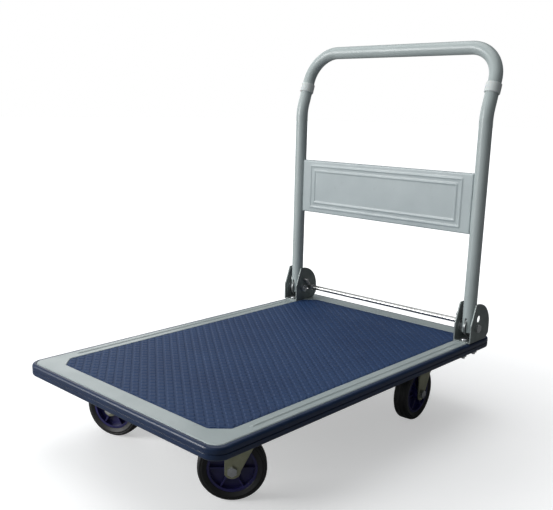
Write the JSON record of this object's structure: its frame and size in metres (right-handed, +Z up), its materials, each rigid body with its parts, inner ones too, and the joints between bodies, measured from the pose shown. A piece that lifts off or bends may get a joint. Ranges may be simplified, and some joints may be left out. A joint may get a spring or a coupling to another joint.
{
  "type": "flatbed platform truck",
  "caption": "Flatbed platform truck with a fold-down push handle, a bumper round the deck, a sprung lock bar and swivel casters.",
  "frame": {"origin": "on the floor under the middle of the deck", "axes": "+X towards the front, away from the handle; +Y to the left; +Z up"},
  "size_m": [0.9, 0.5908, 0.864],
  "materials": {
    "deck_paint": "satin grey-green enamel",
    "panel_paint": "satin grey enamel",
    "handle_paint": "satin grey-green enamel",
    "mat": "ribbed matt sheet",
    "bumper": "smooth extruded",
    "bracket_zinc": "dark plated pressing",
    "caster_zinc": "yellow-passivated zinc pressing",
    "fastener_zinc": "bright zinc",
    "bright_steel": "bright drawn",
    "collar_plastic": "moulded",
    "wheel_plastic": "moulded",
    "tyre": "matt rubber"
  },
  "bodies": {
    "deck": {"bracket_backings": "deck_paint", "bracket_bolts": "fastener_zinc", "bracket_nuts": "fastener_zinc", "caster_bolts": "fastener_zinc", "caster_nuts": "fastener_zinc", "caster_plate_front_left": "caster_zinc", "caster_plate_front_right": "caster_zinc", "caster_plate_rear_left": "caster_zinc", "caster_plate_rear_right": "caster_zinc", "deck_mat": "mat", "deck_plate": "deck_paint", "deck_rails": "deck_paint", "edge_bumper": "bumper", "front_channel": "deck_paint", "hinge_bracket_left": "bracket_zinc", "hinge_bracket_right": "bracket_zinc", "kingpin_nuts": "fastener_zinc", "kingpins": "fastener_zinc", "pivot_bolts": "fastener_zinc", "pivot_nuts": "fastener_zinc", "pivot_washers": "fastener_zinc", "rear_channel": "deck_paint", "spring_posts": "fastener_zinc", "swivel_balls": "bright_steel"},
    "handle": {"handle_leg_left": "handle_paint", "handle_leg_right": "handle_paint", "handle_bow": "handle_paint", "handle_panel": "panel_paint", "panel_screws": "fastener_zinc", "collar_left": "collar_plastic", "collar_right": "collar_plastic", "cam_plate_left": "fastener_zinc", "cam_plate_right": "fastener_zinc", "pivot_bushes": "fastener_zinc"},
    "lock": {"lock_bar": "bright_steel", "lock_bar_rings": "fastener_zinc", "lock_spring_left": "bright_steel", "lock_spring_right": "bright_steel"},
    "swivel_front_left": {"fork_front_left": "caster_zinc", "axle_bolt_front_left": "fastener_zinc", "axle_sleeve_front_left": "fastener_zinc"},
    "wheel_front_left": {"wheel_core_front_left": "wheel_plastic", "tyre_front_left": "tyre"},
    "swivel_front_right": {"fork_front_right": "caster_zinc", "axle_bolt_front_right": "fastener_zinc", "axle_sleeve_front_right": "fastener_zinc"},
    "wheel_front_right": {"wheel_core_front_right": "wheel_plastic", "tyre_front_right": "tyre"},
    "swivel_rear_left": {"fork_rear_left": "caster_zinc", "axle_bolt_rear_left": "fastener_zinc", "axle_sleeve_rear_left": "fastener_zinc"},
    "wheel_rear_left": {"wheel_core_rear_left": "wheel_plastic", "tyre_rear_left": "tyre"},
    "swivel_rear_right": {"fork_rear_right": "caster_zinc", "axle_bolt_rear_right": "fastener_zinc", "axle_sleeve_rear_right": "fastener_zinc"},
    "wheel_rear_right": {"wheel_core_rear_right": "wheel_plastic", "tyre_rear_right": "tyre"}
  },
  "joints": [
    {"name": "handle_fold", "type": "hinge", "parent": "deck", "child": "handle", "pos_m": [-0.3675, 0, 0.2225], "axis": [0, 1, 0], "range_deg": [0, 90]},
    {"name": "lock_slide", "type": "slide", "parent": "deck", "child": "lock", "axis": [1, 0, 0], "range_m": [0, 0.0064], "deforming": ["lock_spring_left", "lock_spring_right"]},
    {"name": "swivel_turn_front_left", "type": "hinge", "parent": "deck", "child": "swivel_front_left", "pos_m": [0.271, 0.187, 0.15], "axis": [0, 0, 1], "continuous": true},
    {"name": "wheel_spin_front_left", "type": "hinge", "parent": "swivel_front_left", "child": "wheel_front_left", "pos_m": [0.29402, 0.16477, 0.065], "axis": [0.6947, 0.7193, 0], "continuous": true},
    {"name": "swivel_turn_front_right", "type": "hinge", "parent": "deck", "child": "swivel_front_right", "pos_m": [0.271, -0.187, 0.15], "axis": [0, 0, 1], "continuous": true},
    {"name": "wheel_spin_front_right", "type": "hinge", "parent": "swivel_front_right", "child": "wheel_front_right", "pos_m": [0.28195, -0.21707, 0.065], "axis": [0.9397, 0.342, 0], "continuous": true},
    {"name": "swivel_turn_rear_left", "type": "hinge", "parent": "deck", "child": "swivel_rear_left", "pos_m": [-0.303, 0.187, 0.15], "axis": [0, 0, 1], "continuous": true},
    {"name": "wheel_spin_rear_left", "type": "hinge", "parent": "swivel_rear_left", "child": "wheel_rear_left", "pos_m": [-0.27108, 0.18923, 0.065], "axis": [-0.0698, 0.9976, 0], "continuous": true},
    {"name": "swivel_turn_rear_right", "type": "hinge", "parent": "deck", "child": "swivel_rear_right", "pos_m": [-0.303, -0.187, 0.15], "axis": [0, 0, 1], "continuous": true},
    {"name": "wheel_spin_rear_right", "type": "hinge", "parent": "swivel_rear_right", "child": "wheel_rear_right", "pos_m": [-0.27159, -0.18089, 0.065], "axis": [-0.1908, 0.9816, 0], "continuous": true}
  ]
}
